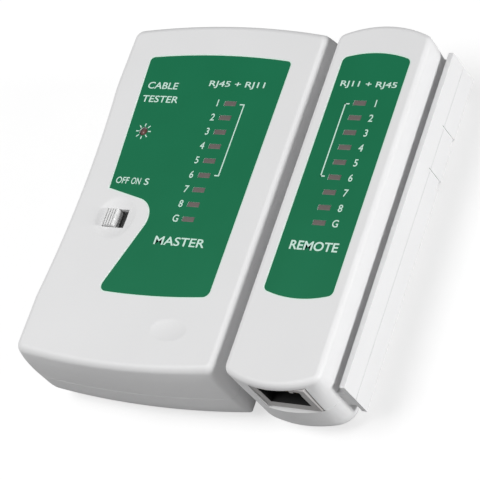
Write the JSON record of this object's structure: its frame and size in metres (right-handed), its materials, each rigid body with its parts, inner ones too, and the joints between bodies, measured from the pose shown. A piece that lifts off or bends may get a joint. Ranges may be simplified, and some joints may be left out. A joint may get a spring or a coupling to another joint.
{
  "type": "network cable tester",
  "caption": "Hand-held network cable tester in two units: a master with a battery, a slide switch and lamps, and a remote with lamps and a side rail, each with jacks in its ends.",
  "frame": {"origin": "middle of the footprint of both units together, on the surface their backs rest on", "axes": "+X runs across both front faces from the master to the remote, +Y towards the top ends, +Z out of the front faces"},
  "size_m": [0.096, 0.105, 0.0275],
  "materials": {
    "case_plastic": "fine satin",
    "door_plastic": "fine satin",
    "label_film": "satin printed film",
    "knob_plastic": "satin",
    "black_plastic": "satin",
    "nickel_steel": "plated",
    "board": "lacquered",
    "lamp": "diffused",
    "jack_plastic": "satin",
    "gold_contacts": "plated",
    "battery_can": "printed film",
    "red_wire": "smooth",
    "black_wire": "smooth",
    "resistor": "lacquered",
    "capacitor": "sleeve",
    "screw": "zinc plated"
  },
  "bodies": {
    "master": {"master_front_shell": "case_plastic", "master_back_shell": "case_plastic", "master_label": "label_film", "switch_body": "nickel_steel", "master_board": "board", "master_lamps": "lamp", "power_lamp": "lamp", "master_rj45_jack": "jack_plastic", "master_rj45_contacts": "gold_contacts", "master_rj11_jack": "jack_plastic", "master_rj11_contacts": "gold_contacts", "battery": "battery_can", "battery_terminals": "nickel_steel", "battery_snap": "black_plastic", "battery_lead_red": "red_wire", "battery_lead_black": "black_wire", "counter_chip": "black_plastic", "timer_chip": "black_plastic", "master_resistors": "resistor", "master_capacitors": "capacitor", "master_case_screws": "screw", "master_board_screws": "screw"},
    "switch": {"switch_knob": "knob_plastic", "switch_actuator": "black_plastic"},
    "door": {"battery_door": "door_plastic"},
    "remote": {"remote_front_shell": "case_plastic", "remote_back_shell": "case_plastic", "remote_label": "label_film", "remote_board": "board", "remote_lamps": "lamp", "remote_rj45_jack": "jack_plastic", "remote_rj45_contacts": "gold_contacts", "remote_rj11_jack": "jack_plastic", "remote_rj11_contacts": "gold_contacts", "remote_diodes": "black_plastic", "remote_resistors": "resistor", "remote_case_screws": "screw", "remote_board_screws": "screw"}
  },
  "joints": [
    {"name": "switch_slide", "type": "slide", "parent": "master", "child": "switch", "axis": [1, 0, 0], "range_m": [0, 0.0027]},
    {"name": "battery_door_slide", "type": "slide", "parent": "master", "child": "door", "axis": [0, -1, 0], "range_m": [0, 0.034]},
    {"name": "remote_apart", "type": "slide", "parent": "master", "child": "remote", "axis": [1, 0, 0], "range_m": [0, 0.05]}
  ]
}
